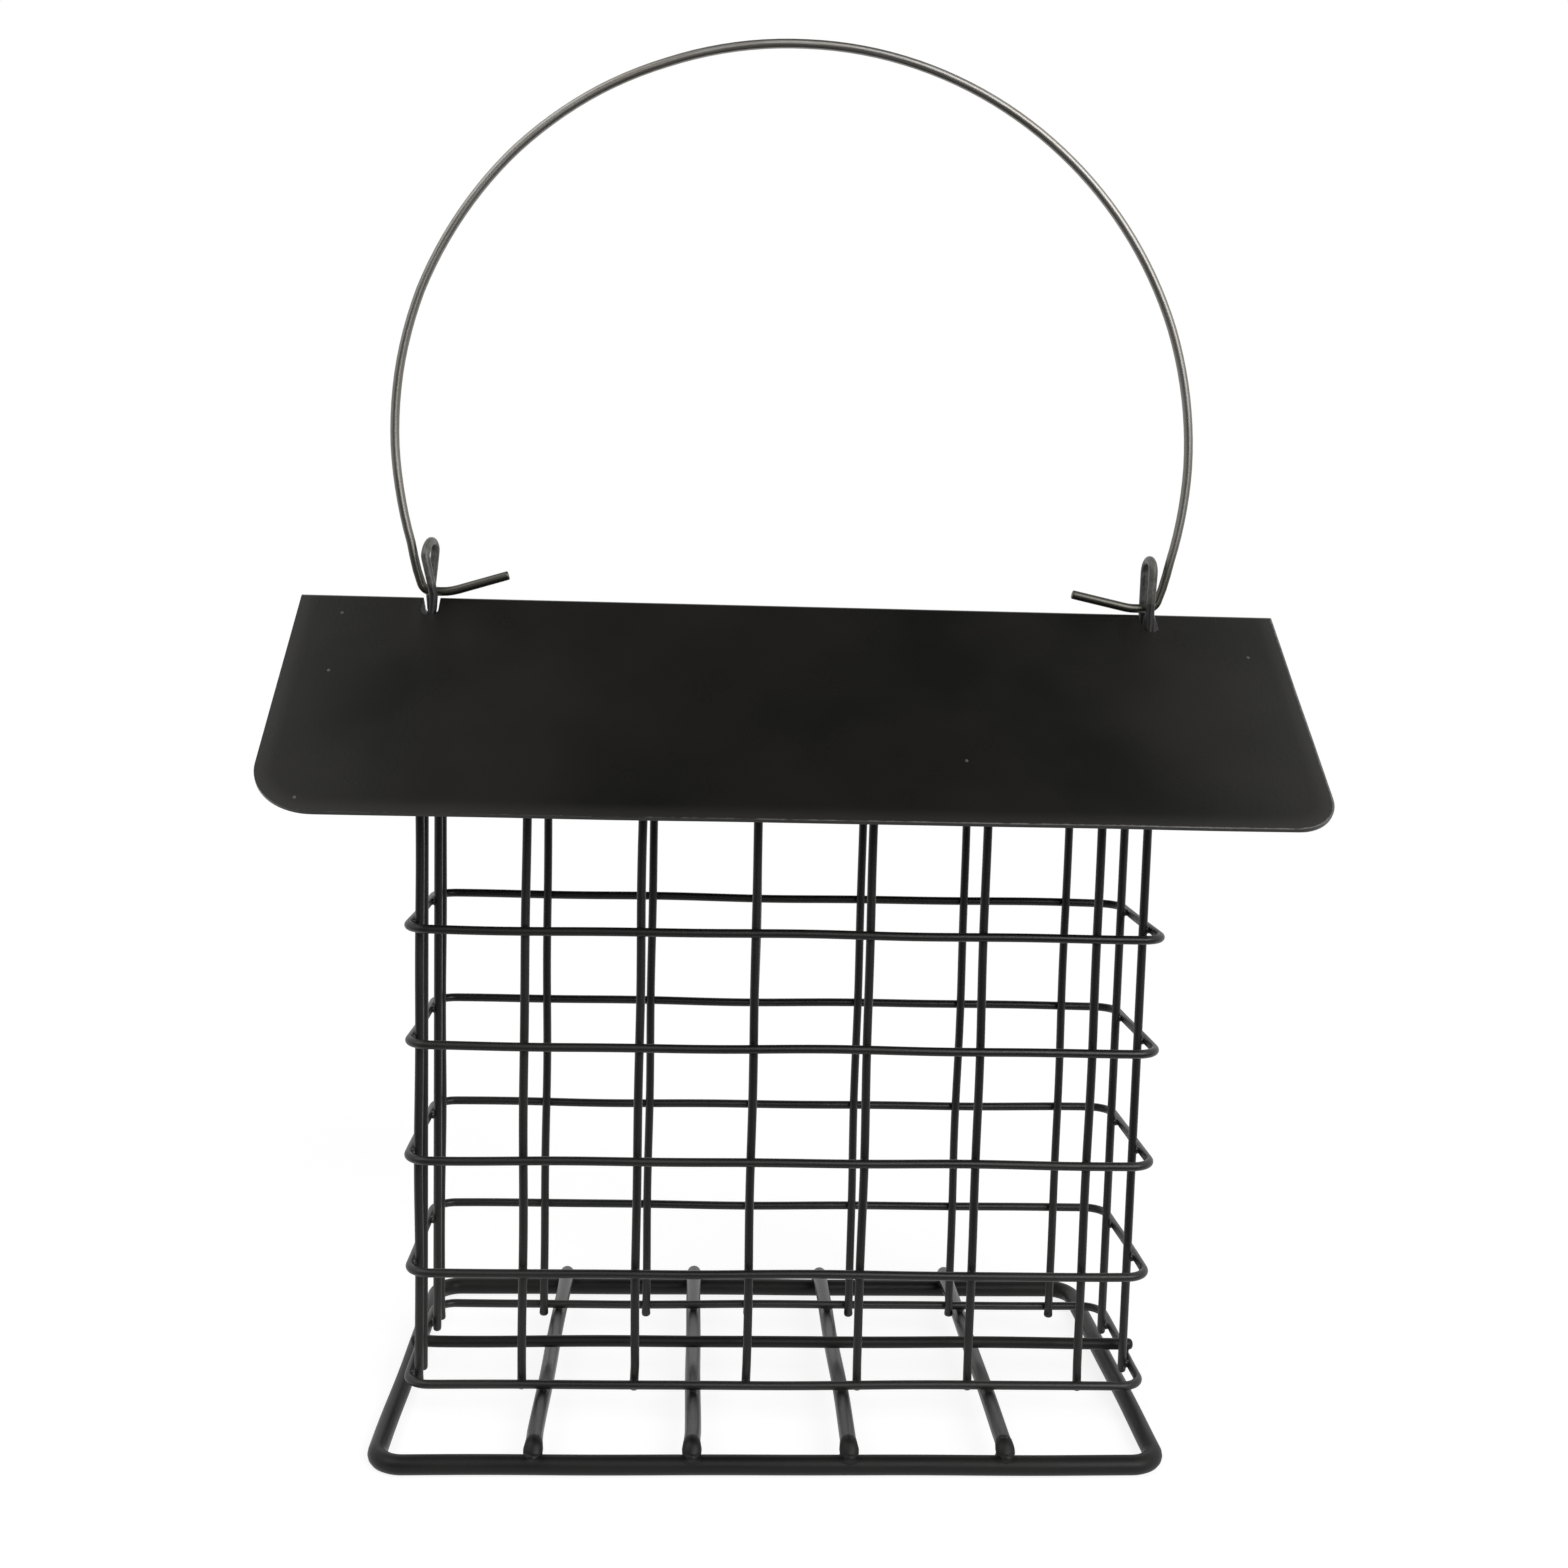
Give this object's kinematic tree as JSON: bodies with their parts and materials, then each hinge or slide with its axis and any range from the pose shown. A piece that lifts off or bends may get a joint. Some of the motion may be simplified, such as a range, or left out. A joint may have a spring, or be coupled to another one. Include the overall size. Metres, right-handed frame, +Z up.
{
  "type": "bird feeder",
  "caption": "Wire-cage suet feeder with a folded sheet roof that slides up on wire hangers, a swinging wire bail to hang it by and a wire perch frame below.",
  "frame": {"origin": "on the ground under the feeder, midway along the ridge and midway from front to back", "axes": "+Z up, +X along the ridge to the right as seen from the front, +Y from the front to the back"},
  "size_m": [0.218, 0.1066, 0.3041],
  "materials": {
    "black_coat": "satin black coating on welded steel wire",
    "roof_coat": "satin warm black coating on steel sheet",
    "bail_steel": "dark bronze-grey drawn spring wire"
  },
  "bodies": {
    "cage": {"mesh_ring_1": "black_coat", "mesh_ring_2": "black_coat", "mesh_ring_3": "black_coat", "mesh_ring_4": "black_coat", "mesh_ring_5": "black_coat", "mesh_ring_6": "black_coat", "mesh_ring_7": "black_coat", "front_upright_1": "black_coat", "front_upright_2": "black_coat", "front_upright_3": "black_coat", "front_upright_4": "black_coat", "front_upright_5": "black_coat", "front_upright_6": "black_coat", "front_upright_7": "black_coat", "rear_upright_1": "black_coat", "rear_upright_2": "black_coat", "rear_upright_3": "black_coat", "rear_upright_4": "black_coat", "rear_upright_5": "black_coat", "rear_upright_6": "black_coat", "rear_upright_7": "black_coat", "left_hanger": "black_coat", "right_hanger": "black_coat", "floor_wire": "black_coat", "perch_frame": "black_coat", "perch_bar_1": "black_coat", "perch_bar_2": "black_coat", "perch_bar_3": "black_coat", "perch_bar_4": "black_coat"},
    "roof": {"roof": "roof_coat"},
    "bail": {"bail": "bail_steel"}
  },
  "joints": [
    {"name": "roof_lift", "type": "slide", "parent": "cage", "child": "roof", "axis": [0, 0, 1], "range_m": [0, 0.008]},
    {"name": "bail_swing", "type": "hinge", "parent": "roof", "child": "bail", "pos_m": [0, 0, 0.18336], "axis": [1, 0, 0], "range_deg": [-126, 126]}
  ]
}
